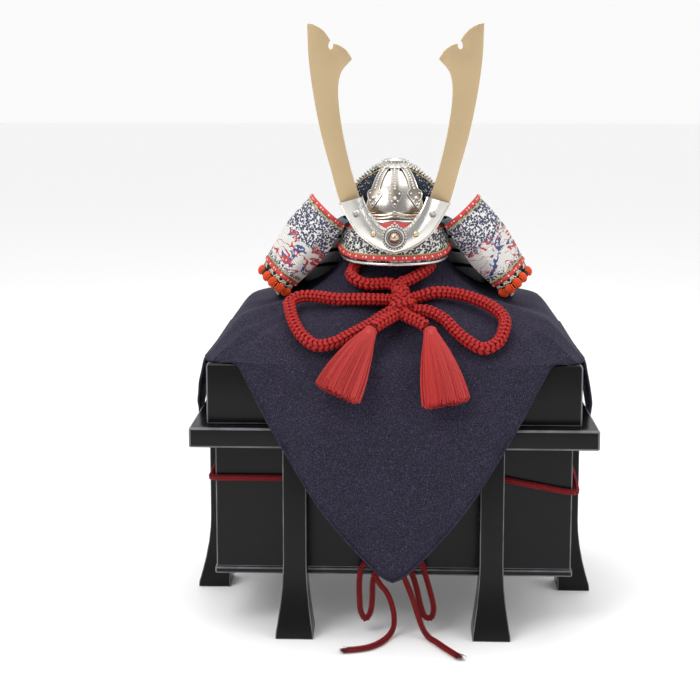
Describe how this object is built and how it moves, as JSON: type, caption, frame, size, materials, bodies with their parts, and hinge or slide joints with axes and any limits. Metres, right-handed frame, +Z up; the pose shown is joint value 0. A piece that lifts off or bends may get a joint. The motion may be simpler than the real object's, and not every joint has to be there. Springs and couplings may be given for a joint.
{
  "type": "ornamental samurai helmet on lacquered chest",
  "caption": "Third-size kabuto with horn crest, turn-backs and neck guard, tied with a red tasselled cord, on a draped cloth over a black lacquered chest with flared legs.",
  "frame": {"origin": "on the floor under the middle of the chest", "axes": "+Z up, +X to the viewer's right, the front of the helmet and chest faces -Y"},
  "size_m": [0.3276, 0.2937, 0.467],
  "materials": {
    "chest_lacquer": "satin black lacquer with worn grey edges",
    "bowl_lacquer": "gloss black lacquer",
    "silver": "polished and engraved silver plate",
    "horn_gold": "pale matt gold plate",
    "printed_leather": "white leather printed with scrolls, leaves and red flames",
    "red_piping": "red braid with white dots",
    "lame_lacquer": "black lacquer with coloured lacing",
    "stand_wood": "plain matt",
    "navy_crepe": "navy crepe with a fine speckle",
    "red_braid": "round eight-strand silk braid",
    "red_tassel": "combed silk threads",
    "dark_red_braid": "dark red silk braid"
  },
  "bodies": {
    "root": {"bowl": "bowl_lacquer", "chest_base": "chest_lacquer", "chest_body": "chest_lacquer", "chest_cord_band": "dark_red_braid", "chest_knot": "dark_red_braid", "chest_lid": "chest_lacquer", "chest_loop_left": "dark_red_braid", "chest_loop_right": "dark_red_braid", "chest_rail": "chest_lacquer", "chest_tail_left": "dark_red_braid", "chest_tail_right": "dark_red_braid", "chin_cord_left": "red_braid", "chin_cord_right": "red_braid", "chin_knot": "red_braid", "chin_loop_left": "red_braid", "chin_loop_right": "red_braid", "chin_tail_left": "red_braid", "chin_tail_right": "red_braid", "crown_ring": "silver", "crown_rosette": "silver", "drape_cloth": "navy_crepe", "front_plate": "silver", "horn_base": "silver", "horn_base_boss": "silver", "horn_base_stud_1": "horn_gold", "horn_base_stud_2": "horn_gold", "horn_base_stud_3": "horn_gold", "horn_base_stud_4": "horn_gold", "horn_left": "horn_gold", "horn_right": "horn_gold", "leg_back_left": "chest_lacquer", "leg_back_right": "chest_lacquer", "leg_front_left": "chest_lacquer", "leg_front_right": "chest_lacquer", "leg_side_left": "chest_lacquer", "leg_side_right": "chest_lacquer", "neck_lame_1": "lame_lacquer", "neck_lame_2": "lame_lacquer", "neck_lame_3": "lame_lacquer", "neck_lame_4": "lame_lacquer", "neck_lame_5": "lame_lacquer", "ridge_arrow_centre": "silver", "ridge_arrow_left": "silver", "ridge_arrow_right": "silver", "stand_cap": "stand_wood", "stand_post": "stand_wood", "tassel_left": "red_tassel", "tassel_right": "red_tassel", "turnback_left": "printed_leather", "turnback_piping_low_left": "red_piping", "turnback_piping_low_right": "red_piping", "turnback_piping_top_left": "red_piping", "turnback_piping_top_right": "red_piping", "turnback_right": "printed_leather", "visor": "printed_leather", "visor_piping": "red_piping", "visor_rim": "silver"}
  },
  "joints": []
}
